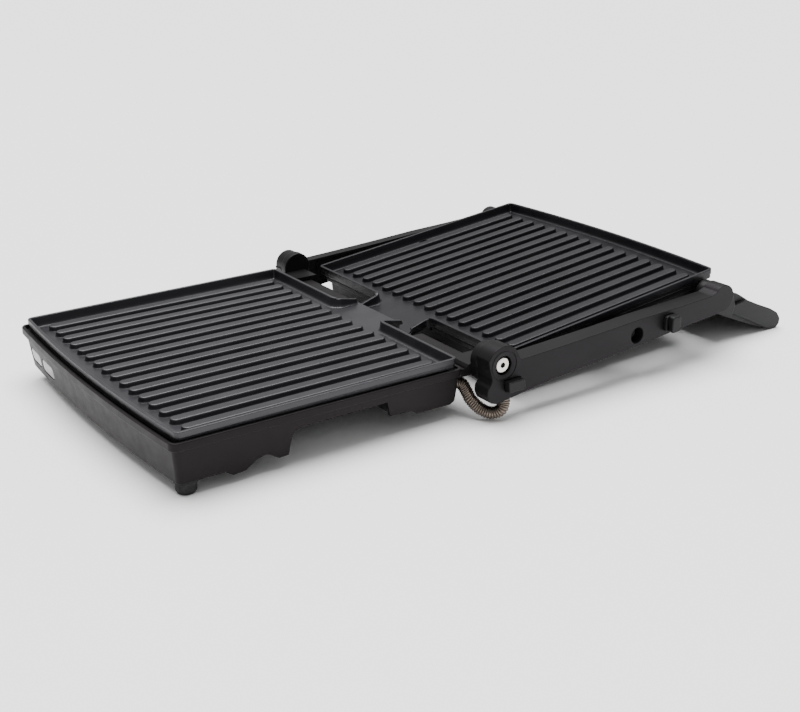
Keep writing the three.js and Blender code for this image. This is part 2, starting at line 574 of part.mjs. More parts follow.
// ---------------------------------------------------------------- spiral-wound cable conduit
const route = [
  [conduitHole.x, back - step - 3.2, conduitHole.z], [conduitHole.x + 0.4, 262.4, conduitHole.z],
  [143.8, 267.6, -27.4], [148.2, 269.8, -33.4], [153.5, 271, -39.8], [160.4, 275.4, -46.2],
  [167.2, 281.6, -49.2], [171.6, 288.2, -46.6], [171.2, 291.6, -40.4],
  [conduitEnd.x, conduitEnd.y, conduitEnd.z],
];
put('flexible_conduit', tube(route, CONDUIT.r, CONDUIT.sides, CONDUIT.steps), 'conduit');

// ---------------------------------------------------------------- gather, centred over the footprint
const part = new THREE.Group();
part.name = 'panini_press';
const bounds = new THREE.Box3();
const geometries = pieces.map(({ solid }) => toGeometry(solid));
for (const g of geometries) {
  g.computeBoundingBox();
  bounds.union(g.boundingBox);
}
const centre = bounds.getCenter(new THREE.Vector3());
pieces.forEach(({ name, finish }, i) => {
  const geometry = geometries[i];
  geometry.translate(-centre.x, -centre.y, -bounds.min.z);
  geometry.computeVertexNormals();
  const mesh = new THREE.Mesh(geometry, FINISH[finish]());
  mesh.name = name;
  part.add(mesh);
});

export default part;
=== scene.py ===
import json
import math

import bmesh
import bpy
from mathutils import Matrix, Vector

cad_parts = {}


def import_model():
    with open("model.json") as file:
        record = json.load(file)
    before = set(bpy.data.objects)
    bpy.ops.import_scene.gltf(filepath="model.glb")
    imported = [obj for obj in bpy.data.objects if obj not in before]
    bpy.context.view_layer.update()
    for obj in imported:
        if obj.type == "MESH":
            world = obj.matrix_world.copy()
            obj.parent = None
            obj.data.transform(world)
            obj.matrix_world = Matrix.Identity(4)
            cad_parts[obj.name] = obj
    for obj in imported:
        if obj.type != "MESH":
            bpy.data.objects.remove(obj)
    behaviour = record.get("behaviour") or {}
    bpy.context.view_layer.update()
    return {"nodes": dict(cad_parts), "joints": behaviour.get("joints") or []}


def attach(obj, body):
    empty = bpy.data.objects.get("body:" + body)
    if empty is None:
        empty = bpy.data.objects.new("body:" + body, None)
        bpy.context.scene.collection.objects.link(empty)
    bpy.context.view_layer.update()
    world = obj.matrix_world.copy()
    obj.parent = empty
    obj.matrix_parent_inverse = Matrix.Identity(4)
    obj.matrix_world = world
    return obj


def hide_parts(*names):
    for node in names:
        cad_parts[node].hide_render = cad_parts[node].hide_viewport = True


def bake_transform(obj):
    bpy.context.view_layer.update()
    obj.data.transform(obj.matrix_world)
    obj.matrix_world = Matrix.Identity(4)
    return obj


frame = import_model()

# ------------------------------------------------------------------ frame and driving sizes
# Drawing coordinates are millimetres from the middle of the lower plate's front rim, x to the right,
# y towards the hinge, z up. The hinge's axis is 285.2 behind that point and 4 below it.
MM = 0.001
JOINTS = {j["name"]: j for j in frame["joints"]}
ORIGIN = Vector(JOINTS["lid_hinge"]["pos_m"]) - Vector((0, 285.2, -4)) * MM
HALF_PLATE, DEPTH = 150.0, 258.0  # both grill plates, over their rims
BASIN = 9.5  # from a plate's rim down to its floor
BOW = 6.5  # how far the free edges swell out in the middle
CASE_HALF, CASE_FRONT, CASE_BACK, CASE_CORNER = 153.6, -4.5, 263.0, 6.5
LEAN, STEP, WALL = 5.8, 1.45, 3.0  # the casing's wall leans in by LEAN over 50 mm of height
BAND = 6.8  # height of the casing's lip band
LID_TILT = math.radians(6.31)
LID_RIM = (309.7, -6.5)
TIP_Y, TIP_Z = 552.0, 1.8
BUTTON_Y, BUTTON_Z = 295.4, -22.9
CONDUIT_END = (170, 291.6, -33)
FRONT_FEET = {"right": (136, 13), "left": (-117, 15.5)}
PILLARS = ((-104, 24), (120, 24), (-120, 238), (120, 238))
WINDOWS = ((-141.5, -113.5), (-109.5, -79))
WINDOW_LOW, WINDOW_HIGH = -36.4, -24.2


def swell(x):
    """How far a free edge swells out at x."""
    return BOW * max(0.0, 1 - (x / HALF_PLATE) ** 2)


def swollen(points, middle):
    """The outline with its part in front of middle swelled out."""
    return [(x, y - swell(x) if y < middle else y) for x, y in points]


def world(p):
    """A drawing point in the frame's metres."""
    return ORIGIN + Vector(p) * MM


def axis_of(joint):
    """The y and z of a joint's axis in drawing coordinates."""
    p = (Vector(JOINTS[joint]["pos_m"]) - ORIGIN) / MM
    return p.y, p.z


def as_drawn(p):
    """The placement of pieces that are drawn where they are."""
    return p


def lid_point(p):
    """A point of the lid's own frame (rim plane at z 0, hinge side at y = DEPTH) in drawing coordinates."""
    x, v, w = -p[0], DEPTH - p[1], p[2]
    c, s = math.cos(LID_TILT), math.sin(LID_TILT)
    return (x, LID_RIM[0] + v * c - w * s, LID_RIM[1] + v * s + w * c)


HINGE_Y, HINGE_Z = axis_of("lid_hinge")
PIVOT = axis_of("lid_float")
KNOB_Y, KNOB_Z = axis_of("height_knob_turn")


# ------------------------------------------------------------------ mesh helpers
def new_object(name, data):
    """A linked object round a mesh, light or camera."""
    obj = bpy.data.objects.new(name, data)
    bpy.context.scene.collection.objects.link(obj)
    return obj


def fix_normals(obj):
    """Joins doubled vertices and turns the faces outwards."""
    bm = bmesh.new()
    bm.from_mesh(obj.data)
    bmesh.ops.remove_doubles(bm, verts=bm.verts, dist=1e-7)
    bmesh.ops.recalc_face_normals(bm, faces=bm.faces)
    bm.to_mesh(obj.data)
    bm.free()


def arc(cx, cy, r, start, end, steps):
    """Points along a circle, from the start angle to the end angle in degrees."""
    angles = [math.radians(start + (end - start) * i / steps) for i in range(steps + 1)]
    return [(cx + r * math.cos(t), cy + r * math.sin(t)) for t in angles]


def corner(x, y, r, d, start, steps, least=0.6):
    """A quarter round at the corner (x, y) of an outline moved in by d."""
    r = max(r - d, least)
    cx = math.copysign(abs(x) - d - r, x)
    cy = y + d + r if start >= 180 else y - d - r
    return arc(cx, cy, r, start, start + 90, steps)


def rounded(points, steps=6):
    """A closed polygon of (a, b, radius) with each corner rounded."""
    out = []
    n = len(points)
    for i, (a, b, r) in enumerate(points):
        here = Vector((a, b))
        if r <= 0:
            out.append((a, b))
            continue
        before = Vector(points[i - 1][:2]) - here
        after = Vector(points[(i + 1) % n][:2]) - here
        half = before.angle(after) / 2
        reach = min(r / math.tan(half), before.length * 0.49, after.length * 0.49)
        p, q = here + before.normalized() * reach, here + after.normalized() * reach
        for k in range(steps + 1):
            t = k / steps
            out.append(tuple((1 - t) ** 2 * p + 2 * t * (1 - t) * here + t * t * q))
    return out


def loft(name, rings, ends=True, place=as_drawn):
    """Rings of the same number of points, joined one to the next. Without ends, the last joins the first."""
    n, last = len(rings[0]), len(rings) - 1
    faces = []
    for k in range(last if ends else last + 1):
        near, far = k * n, (k + 1) % (last + 1) * n
        for i in range(n):
            j = (i + 1) % n
            faces.append((near + i, near + j, far + j, far + i))
    if ends:
        faces += [tuple(reversed(range(n))), tuple(last * n + i for i in range(n))]
    mesh = bpy.data.meshes.new(name)
    mesh.from_pydata([world(place(p)) for ring in rings for p in ring], [], faces)
    mesh.validate()
    obj = new_object(name, mesh)
    fix_normals(obj)
    return obj


def prism(name, outline, x0, x1):
    """An outline in (y, z) carried along x."""
    return loft(name, [[(x, a, b) for a, b in outline] for x in (x0, x1)])


def slab(name, outline, z0, z1, place=as_drawn):
    """An outline in (x, y) carried up z."""
    return loft(name, [[(a, b, z) for a, b in outline] for z in (z0, z1)], place=place)


def lathe(name, profile, centre, axis, segments):
    """A profile of (along the axis, radius), turned about an x or z axis through centre."""
    rings = []
    for s, r in profile:
        circle = arc(*centre, r, 0, 360, segments)[:-1]
        rings.append([(s, a, b) if axis == "x" else (a, b, s) for a, b in circle])
    return loft(name, rings)


def bore(y, z, r, x0, x1):
    """A round bar along x, mostly used as a tool that cuts a hole."""
    return lathe("bore", [(x0, r), (x1, r)], (y, z), "x", 48)


def box(name, low, high):
    (x0, y0, z0), (x1, y1, z1) = low, high
    return slab(name, [(x0, y0), (x1, y0), (x1, y1), (x0, y1)], z0, z1)


def settle(obj):
    """Replaces the object's mesh with what its modifiers give."""
    dg = bpy.context.evaluated_depsgraph_get()
    dg.update()
    mesh = bpy.data.meshes.new_from_object(obj.evaluated_get(dg))
    obj.modifiers.clear()
    obj.data = mesh
    return obj


def carve(obj, tools):
    """Cuts the tools out of the object and deletes them."""
    for tool in tools:
        m = obj.modifiers.new("cut", "BOOLEAN")
        m.operation, m.solver, m.object = "DIFFERENCE", "EXACT", tool
    settle(obj)
    for tool in tools:
        bpy.data.objects.remove(tool, do_unlink=True)
    return obj


def merged(name, objs):
    """Several pieces as one object, without a boolean."""
    bm = bmesh.new()
    for o in objs:
        bm.from_mesh(o.data)
    mesh = bpy.data.meshes.new(name)
    bm.to_mesh(mesh)
    bm.free()
    for o in objs:
        bpy.data.objects.remove(o, do_unlink=True)
    return new_object(name, mesh)


def soften(obj, width=0.0, segments=3, angle=34, sharp=50):
    """Rounds edges harder than angle by width, and shades smooth up to sharp."""
    if width:
        m = obj.modifiers.new("edges", "BEVEL")
        m.width, m.segments, m.limit_method = width * MM, segments, "ANGLE"
        m.angle_limit, m.harden_normals = math.radians(angle), False
        m.use_clamp_overlap = True
        settle(obj)
    bm = bmesh.new()
    bm.from_mesh(obj.data)
    limit = math.radians(sharp)
    for f in bm.faces:
        f.smooth = True
    for e in bm.edges:
        e.smooth = len(e.link_faces) == 2 and e.calc_face_angle(0) < limit
    bm.to_mesh(obj.data)
    bm.free()
    w = obj.modifiers.new("even shading", "WEIGHTED_NORMAL")
    w.keep_sharp, w.weight = True, 60
    return obj


def mirror_mesh(obj):
    """Moves the object to the other side of the plate's middle plane."""
    for v in obj.data.vertices:
        v.co.x = 2 * ORIGIN.x - v.co.x
    obj.data.flip_normals()
    return obj


def mirrored(obj, name):
    """A mirrored copy."""
    return mirror_mesh(new_object(name, obj.data.copy()))


# ------------------------------------------------------------------ materials
class Nodes:
    """A material's node tree with short calls."""

    def __init__(self, name):
        self.mat = bpy.data.materials.new(name)
        self.mat.use_nodes = True
        self.tree = self.mat.node_tree
        self.shader = self.tree.nodes["Principled BSDF"]
        self.coords = self.tree.nodes.new("ShaderNodeTexCoord")

    def feed(self, socket, value):
        """Links another node's output to the socket, or sets a plain value on it."""
        if isinstance(value, bpy.types.NodeSocket):
            self.tree.links.new(value, socket)
        else:
            socket.default_value = value

    def node(self, kind, inputs=(), **settings):
        n = self.tree.nodes.new(kind)
        for key, value in settings.items():
            setattr(n, key, value)
        for key, value in dict(inputs).items():
            self.feed(n.inputs[key], value)
        return n

    def noise(self, scale, detail, roughness=0.5, stretch=(1, 1, 1)):
        m = self.node("ShaderNodeMapping", {"Vector": self.coords.outputs["Object"], "Scale": stretch})
        return self.node(
            "ShaderNodeTexNoise",
            {"Vector": m.outputs[0], "Scale": scale, "Detail": detail, "Roughness": roughness},
        ).outputs["Fac"]

    def ramp(self, value, low, high, out_low, out_high):
        return self.node(
            "ShaderNodeMapRange",
            {"Value": value, "From Min": low, "From Max": high, "To Min": out_low, "To Max": out_high},
        ).outputs[0]

    def mix(self, fac, a, b):
        """Colour a where fac is 0, b where it is 1."""
        return self.node("ShaderNodeMix", {0: fac, 6: a, 7: b}, data_type="RGBA").outputs[2]

    def math(self, operation, a, b):
        return self.node("ShaderNodeMath", {0: a, 1: b}, operation=operation).outputs[0]

    def bump(self, height, strength, distance, normal=None):
        inputs = {"Height": height, "Strength": strength, "Distance": distance}
        if normal is not None:
            inputs["Normal"] = normal
        return self.node("ShaderNodeBump", inputs).outputs[0]

    def set(self, **values):
        """Feeds the shader and gives the finished material."""
        names = {
            "color": "Base Color", "rough": "Roughness", "metal": "Metallic", "normal": "Normal",
            "coat": "Coat Weight", "coat_rough": "Coat Roughness", "spec": "Specular IOR Level",
            "transmission": "Transmission Weight", "sss": "Subsurface Weight",
            "sss_scale": "Subsurface Scale", "spec_tint": "Specular Tint",
        }
        for key, value in values.items():
            self.feed(self.shader.inputs[names[key]], value)
        return self.mat


def grey(v, warm=0.0):
    return (v * (1 + warm), v, v * (1 - warm), 1)


def moulded_plastic(name, value, rough, spec, tint, grain=0.14, warm=0.03):
    """Charcoal moulded plastic: spark-eroded grain, faint handling marks."""
    n = Nodes(name)
    cloud = n.noise(14, 4, 0.55)
    color = n.mix(n.ramp(cloud, 0.35, 0.7, 0, 1), grey(value * 0.86, warm), grey(value * 1.16, warm))
    dust = n.ramp(n.noise(900, 2, 0.6), 0.66, 0.8, 0, 0.22)
    color = n.mix(dust, color, grey(value * 2.6, warm))
    marks = n.ramp(n.noise(60, 5, 0.62, (1, 0.25, 1)), 0.35, 0.75, -0.05, 0.07)
    fine = n.ramp(n.noise(2200, 2, 0.5), 0.3, 0.7, -0.04, 0.04)
    roughness = n.math("ADD", n.math("ADD", marks, fine), rough)
    pits = n.bump(n.noise(2600, 2.5, 0.6), grain, 0.00012)
    waves = n.bump(n.noise(42, 2, 0.4), 0.05, 0.0006, pits)
    return n.set(color=color, rough=roughness, normal=waves, spec=spec, spec_tint=tint)


def non_stick(name, spec, painted_light_level):
    """Black non-stick coating over cast aluminium, with fine flecks and a soft sheen. The last argument
    scales the colour: painted light above 1, painted shade below 1.
    """
    n = Nodes(name)
    cloud = n.noise(22, 4, 0.6)
    dark, light = [(r * painted_light_level, g * painted_light_level, b * painted_light_level, 1)
                   for r, g, b in ((0.0040, 0.0039, 0.0052), (0.0074, 0.0072, 0.0092))]
    color = n.mix(n.ramp(cloud, 0.3, 0.7, 0, 1), dark, light)
    cells = n.node(
        "ShaderNodeTexVoronoi",
        {"Vector": n.coords.outputs["Object"], "Scale": 1150.0, "Randomness": 1.0},
    )
    fleck = n.ramp(cells.outputs["Distance"], 0.0, 0.17, 1, 0)
    rare = n.ramp(n.noise(700, 1, 0.5), 0.53, 0.6, 0, 1)
    spots = n.math("MULTIPLY", fleck, rare)
    color = n.mix(n.math("MULTIPLY", spots, 0.55), color, (0.12, 0.12, 0.13, 1))
    wear = n.ramp(n.noise(75, 6, 0.65, (1, 0.12, 1)), 0.4, 0.75, -0.04, 0.08)
    roughness = n.math("ADD", wear, n.ramp(cloud, 0.3, 0.7, 0.36, 0.44))
    peel = n.bump(n.noise(1500, 2, 0.5), 0.16, 0.00016)
    peel_and_swell = n.bump(n.noise(110, 2, 0.5), 0.05, 0.0008, peel)
    return n.set(color=color, rough=roughness, normal=peel_and_swell, spec=spec,
                 spec_tint=(0.97, 0.96, 1, 1), metal=0.0)


def steel(name, color_a, color_b, rough, bump=0.08):
    """Bare steel: fine marks and patchy sheen."""
    n = Nodes(name)
    streak = n.noise(900, 4, 0.6)
    patch = n.noise(90, 3, 0.5)
    color = n.mix(n.ramp(patch, 0.3, 0.7, 0, 1), color_a, color_b)
    roughness = n.math("ADD", n.ramp(streak, 0.3, 0.7, -0.07, 0.09), rough)
    return n.set(color=color, rough=roughness, metal=1.0, normal=n.bump(streak, bump, 0.0001))


def rubber(name):
    """Matte black rubber."""
    n = Nodes(name)
    color = n.mix(n.ramp(n.noise(300, 4, 0.6), 0.35, 0.7, 0, 1), grey(0.012), grey(0.026))
    return n.set(color=color, rough=n.ramp(n.noise(500, 3), 0.3, 0.7, 0.72, 0.9),
                 normal=n.bump(n.noise(1600, 3), 0.25, 0.0002), spec=0.3)


def milky_lens(name):
    """Frosted grey lamp window: faint ribs inside and a soft gloss on top."""
    n = Nodes(name)
    mottled = n.noise(260, 3, 0.5)
    color = n.mix(n.ramp(mottled, 0.3, 0.75, 0, 1), (0.088, 0.08, 0.084, 1), (0.135, 0.124, 0.129, 1))
    ribs = n.node(
        "ShaderNodeTexWave",
        {"Vector": n.coords.outputs["Object"], "Scale": 260.0, "Distortion": 0.4},
        bands_direction="X",
    )
    return n.set(color=color, rough=n.ramp(mottled, 0.3, 0.7, 0.26, 0.38), transmission=0.12,
                 sss=0.3, sss_scale=0.002, coat=0.5, coat_rough=0.12,
                 normal=n.bump(ribs.outputs["Fac"], 0.12, 0.0003))


def plain(name, color_a, color_b, rough, metal, scale=200.0, bump=0.15):
    """A mottled surface with a fine bump: enamel, sheet metal, ceramic, board."""
    n = Nodes(name)
    mottled = n.noise(scale, 4, 0.6)
    color = n.mix(n.ramp(mottled, 0.3, 0.7, 0, 1), color_a, color_b)
    return n.set(color=color, rough=n.ramp(mottled, 0.3, 0.7, rough - 0.06, rough + 0.08), metal=metal,
                 normal=n.bump(n.noise(scale * 5, 3), bump, 0.0002))


PLASTIC = moulded_plastic("casing_plastic", 0.0076, 0.44, 0.11, (1, 0.82, 0.9, 1))
ARM_PLASTIC = moulded_plastic("arm_plastic", 0.0056, 0.43, 0.13, (1, 0.9, 1, 1), 0.12, 0.0)
GRIP_PLASTIC = moulded_plastic("grip_plastic", 0.0066, 0.42, 0.16, (0.98, 0.97, 1, 1), 0.2, -0.02)
# Near black for the insides of the hinge bolts' hex sockets: painted shade.
SOCKET_SHADE = plain("bolt_socket_shade", grey(0.004), grey(0.012), 0.6, 0.0)
# One coating in two copies: the lower plate's colour is painted lighter (painted light) and the upper plate's
# darker (painted shade), with different reflection levels.
LOWER_COATING_PAINTED_LIGHT = non_stick("lower_coating_painted_light", 0.55, 1.2)
UPPER_COATING_PAINTED_SHADE = non_stick("upper_coating_painted_shade", 0.28, 0.88)
BOLT_STEEL = steel("bolt_steel", (0.62, 0.59, 0.55, 1), (0.74, 0.71, 0.67, 1), 0.3)
SCREW_STEEL = steel("screw_steel", (0.45, 0.44, 0.43, 1), (0.6, 0.59, 0.57, 1), 0.36)
# Near black for the lid's pivot screws: painted shade of the holes they sit in.
PIVOT_SHADE_STEEL = plain("pivot_hole_painted_shade", grey(0.014), grey(0.03), 0.42, 0.0, 300, 0.1)
CONDUIT_STEEL = steel("conduit_steel_look", (0.13, 0.105, 0.088, 1), (0.235, 0.198, 0.168, 1), 0.3, bump=0.05)
RUBBER = rubber("foot_rubber_look")
LENS = milky_lens("lamp_lens_look")
ENAMEL = plain("pan_enamel", grey(0.012), grey(0.02), 0.42, 0.0, 160, 0.12)
SHEET = plain("shield_steel", grey(0.42), grey(0.56), 0.4, 1.0, 120, 0.08)
SHEATH = plain("element_sheath_look", (0.09, 0.075, 0.06, 1), (0.17, 0.14, 0.11, 1), 0.5, 1.0, 260, 0.2)
CERAMIC = plain("ceramic_look", (0.56, 0.52, 0.45, 1), (0.68, 0.64, 0.56, 1), 0.62, 0.0, 400, 0.2)
BOARD = plain("board_look", (0.16, 0.085, 0.03, 1), (0.22, 0.12, 0.05, 1), 0.55, 0.0, 500, 0.1)


def paint(obj, material):
    """The whole object gets one material."""
    obj.data.materials.clear()
    obj.data.materials.append(material)
    for p in obj.data.polygons:
        p.material_index = 0


def finish_piece(obj, material, body, node):
    """The piece gets its look, stands in for a CAD node and rides on a body."""
    paint(obj, material)
    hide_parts(node)
    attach(obj, body)


# ------------------------------------------------------------------ grill plates
PLATE_CORNER, FILLET, NOSE = 5.0, 5.0, 3.0  # corner radii: plate, beside the spout, spout's end


def plate_outline(d, spout_half, spout_end):
    """The plate's outline with its spout, moved in by d. It has the same number of points for every d."""
    pts = corner(HALF_PLATE, 0, PLATE_CORNER, d, 270, 10, 1.6)
    pts += corner(HALF_PLATE, DEPTH, PLATE_CORNER, d, 0, 10, 1.6)
    pts += arc(spout_half + FILLET, DEPTH + FILLET, FILLET + d, 270, 180, 8)
    pts += arc(spout_half - NOSE, spout_end - NOSE, max(NOSE - d, 0.02), 0, 90, 5)
    pts += [((spout_half - NOSE) * (1 - 2 * k / 12), spout_end - d) for k in range(1, 12)]
    pts += arc(-spout_half + NOSE, spout_end - NOSE, max(NOSE - d, 0.02), 90, 180, 5)
    pts += arc(-spout_half - FILLET, DEPTH + FILLET, FILLET + d, 360, 270, 8)
    pts += corner(-HALF_PLATE, DEPTH, PLATE_CORNER, d, 90, 10, 1.6)
    pts += corner(-HALF_PLATE, 0, PLATE_CORNER, d, 180, 10, 1.6)
    pts += [((HALF_PLATE - PLATE_CORNER) * (k / 12 - 1), d) for k in range(1, 24)]
    return swollen(pts, DEPTH / 2)


# (distance in from the outline, height) from under the skirt, over the rim, down to the floor
PLATE_SECTION = [
    (7.0, -13.1), (6.2, -13.1), (6.0, -12.8), (6.0, -9.4), (1.2, -9.2), (0.9, -8.9), (0.8, -8.4),
    (0.8, -5.5), (0.65, -5.15), (0.15, -4.95), (0.0, -4.7), (0.0, -0.6), (0.15, -0.2), (0.5, 0.0),
    (1.1, 0.0), (2.1, 0.0), (2.5, 0.0), (2.85, -0.2), (3.05, -0.7), (3.5, -5.0), (3.9, -7.6),
    (4.5, -8.7), (5.4, -9.3), (6.6, -BASIN),
]
RIBS, RIB_PITCH, RIB_BOW = 16, 17.5, 3.5
# (half width, height above the root) from root to top
RIB_SECTION = [
    (5.9, 0.0), (5.5, 0.2), (5.2, 0.8), (4.95, 2.0), (4.75, 3.2), (4.5, 3.95), (4.1, 4.35), (3.2, 4.5),
    (1.6, 4.5),
]
RIB_ROOT = -BASIN - 0.1
LOWER_Y = 1


def grill_plate(name, spout_half, spout_end, end_drop, rib_from, rib_to, place):
    """A tray with a raised rim and ribs. The rim sinks by end_drop along the spout and opens at its end."""
    base = plate_outline(0, spout_half, spout_end)

    def rim_height(x, y):
        if y < DEPTH + 2 or abs(x) > spout_half + 4:
            return 0.0
        t = min(1.0, max(0.0, (y - DEPTH - 2) / (spout_end - DEPTH - 5)))
        wall = -1.2 - end_drop * t * t * (3 - 2 * t)
        edge = max(0.0, (y - spout_end + 3.2) / 3.2) if abs(x) > spout_half - 3.5 else 1.0
        return wall + (-9.3 - wall) * edge

    rings = []
    for d, z in PLATE_SECTION:
        ring = []
        share = min(1.0, max(0.0, (z + BASIN) / BASIN))
        for (x, y), edge in zip(plate_outline(d, spout_half, spout_end), base):
            top = rim_height(*edge)
            ring.append((x, y, -BASIN + share * (top + BASIN) if z > -9.2 and top < -0.01 else z))
        rings.append(ring)
    parts = [loft(name + "_tray", rings, place=place)]
    root_half = RIB_SECTION[0][0]
    for k in range(RIBS):
        cx = (k - (RIBS - 1) / 2) * RIB_PITCH
        start = rib_from - RIB_BOW * (1 - (cx / HALF_PLATE) ** 2) + root_half
        rings = []
        for r, h in RIB_SECTION:
            ring = arc(cx, start, r, 180, 360, 12) + arc(cx, rib_to - root_half, r, 0, 180, 12)
            rings.append([(a, b, RIB_ROOT + h) for a, b in ring])
        parts.append(loft(f"{name}_rib{k}", rings, place=place))
    whole = merged(name, parts)
    fix_normals(whole)
    return soften(whole, sharp=60)


def lower_point(p):
    """The lower plate sits LOWER_Y behind the drawing's origin."""
    return p[0], p[1] + LOWER_Y, p[2]


lower = grill_plate("lower_plate_look", 38.0, 283.9 - LOWER_Y, 3.4, 13.5, 246, lower_point)
finish_piece(lower, LOWER_COATING_PAINTED_LIGHT, "base", "lower_grill_plate")
upper = grill_plate("upper_plate_look", 42.2, DEPTH + 23.6, 3.0, 15, 240, lid_point)
finish_piece(upper, UPPER_COATING_PAINTED_SHADE, "lid", "upper_grill_plate")

# ------------------------------------------------------------------ base casing
# (y, z) along the side walls' lower edge, from the front to the back
SIDE = [
    (-20, -43.9), (37, -43.9), (43.2, -48.6), (54.4, -47.8), (65.5, -40.5), (72, -39), (77, -40.5),
    (84.2, -45.4), (93, -45.1), (95.8, -31.2), (99.4, -25.1), (107.3, -23.1), (187.4, -23.1),
    (189.8, -36.2), (213.2, -37.7), (218.2, -41.5), (254.6, -42.1), (258.4, -39), (262, -18.6), (300, -18.6),
]


def casing_bottom(y):
    """The side wall's lower edge at y."""
    for (y0, z0), (y1, z1) in zip(SIDE, SIDE[1:]):
        if y0 <= y <= y1:
            return z0 + (z1 - z0) * (y - y0) / (y1 - y0)
    return SIDE[-1][1]


def casing_top(y):
    """The lip's height, which falls a little towards the hinge."""
    return -6.7 - (y + 20) * 2.7 / 320


def casing_ring(d):
    """The casing's outline moved in by d, with points close together along the sides."""
    length = CASE_BACK - CASE_FRONT - 20
    steps = [CASE_FRONT + 10 + length * k / 150 for k in range(151)]
    pts = corner(CASE_HALF, CASE_FRONT, CASE_CORNER, d, 270, 12)
    pts += [(CASE_HALF - d, y) for y in steps]
    pts += corner(CASE_HALF, CASE_BACK, CASE_CORNER, d, 0, 12)
    pts += corner(-CASE_HALF, CASE_BACK, CASE_CORNER, d, 90, 12)
    pts += [(-CASE_HALF + d, y) for y in reversed(steps)]
    pts += corner(-CASE_HALF, CASE_FRONT, CASE_CORNER, d, 180, 12)
    pts += [((CASE_HALF - CASE_CORNER) * (k / 12 - 1), CASE_FRONT + d) for k in range(1, 24)]
    return swollen(pts, 100)


def leaning(x, y, z, d):
    """A point of the outline moved in by d, carried down the leaning wall to height z."""
    half, back = CASE_HALF - d, CASE_BACK - d
    length = back - CASE_FRONT - d
    shift = -LEAN * z / 50
    return x * (half - shift) / half, back - (back - y) * (length - shift) / length, z


def front_wall(x, z):
    """Where the front wall's outer face is, as y."""
    half = CASE_HALF - STEP
    return leaning(x, CASE_FRONT + STEP - swell(x * half / (half + LEAN * z / 50)), z, STEP)[1]


def casing():
    """Lip band round the top, recessed leaning wall, stepped lower edge, open underneath."""
    top, band, low = range(3)  # what a row's height is measured from
    inset, inner = 8.6, STEP + WALL
    lip = [
        (inset, top, -6.6), (inset, top, -3.6), (3.1, top, -3.5), (3.0, top, -3.2), (2.9, top, -0.35),
        (2.6, top, -0.05), (1.1, top, 0.0), (0.5, top, -0.12), (0.12, top, -0.5), (0.0, top, -1.1),
        (0.0, band, 0.9), (0.12, band, 0.35), (0.5, band, 0.05), (1.4, band, 0.0), (2.4, band, 0.0),
    ]
    wall = [
        (STEP, band, -0.3), (STEP, band, -2.0), (STEP, low, 1.0), (STEP + 0.15, low, 0.35),
        (STEP + 0.6, low, 0.0), (inner - 0.5, low, 0.0), (inner, low, 0.5),
    ]
    outer = casing_ring(0)
    rings = []
    for k, (d, kind, off) in enumerate(lip + wall):
        ring = []
        for (x, y), (_, oy) in zip(casing_ring(d), outer):
            t = casing_top(oy)
            z = (t, t - BAND, max(casing_bottom(oy), -48.6))[kind] + off
            ring.append((x, y, z) if k < len(lip) else leaning(x, y, z, d))
        rings.append(ring)
    rings.append([leaning(x, y, casing_top(y) - 6.7, inner) for x, y in casing_ring(inner)])
    rings.append([(x, y, casing_top(y) - 6.7) for x, y in casing_ring(inset)])
    return loft("casing_shell", rings, ends=False)


def window_outline(x0, x1, shrink):
    """A lamp window's rounded outline in (x, z), moved in by shrink."""
    low, high, r = WINDOW_LOW + shrink, WINDOW_HIGH - shrink, 5
    return rounded([(x0 + shrink, low, r), (x1 - shrink, low, r), (x1 - shrink, high, r),
                    (x0 + shrink, high, r)], 8)


shell = casing()
tools = []
for x0, x1 in WINDOWS:
    pts = window_outline(x0, x1, 0)
    tools.append(loft("window", [[(a, y, b) for a, b in pts] for y in (-14, 4.5)]))
tools.append(box("spout_gap", (-38.6, 250, -12.9), (38.6, 270, 2)))
carve(shell, tools)
soften(shell, sharp=48)


def beside(name, x, reach, y, half, z0, z1):
    """A web from x outwards to reach, centred on y, 2 * half thick."""
    reach = math.copysign(reach, x)
    return box(name, (min(x, reach), y - half, z0), (max(x, reach), y + half, z1))


# (y, z, corner radius) of the decks behind the plate that carry the hinge brackets
DECK = [
    (259.4, -18.6, 1), (259.4, -11.2, 0.6), (287, -11.8, 2), (290.5, -13.4, 1.5), (290.5, -17, 1.5),
    (288, -18.6, 1),
]
deck_parts = []
for x, y in PILLARS:
    deck_parts.append(lathe("pillar", [(-34.4, 4.6), (-13.5, 4.6)], (x, y), "z", 24))
    deck_parts.append(beside("rail", x, 147.4, y, 1.5, -18.6, -13.5))
for x, y in FRONT_FEET.values():
    deck_parts.append(lathe("foot_boss", [(-43.9, 6.2), (-13.5, 6.2)], (x, y), "z", 32))
    deck_parts.append(beside("strut", x, 146.4, 12.6, 1.2, -40, -13.5))
for side in (-1, 1):
    deck_parts.append(prism("deck", rounded(DECK), *sorted((side * 60, side * 150))))
decks = soften(merged("casing_decks", deck_parts), 0.6, 2)
base_casing = merged("base_casing_look", [settle(shell), settle(decks)])
soften(base_casing, sharp=48)
finish_piece(base_casing, PLASTIC, "base", "base_casing")

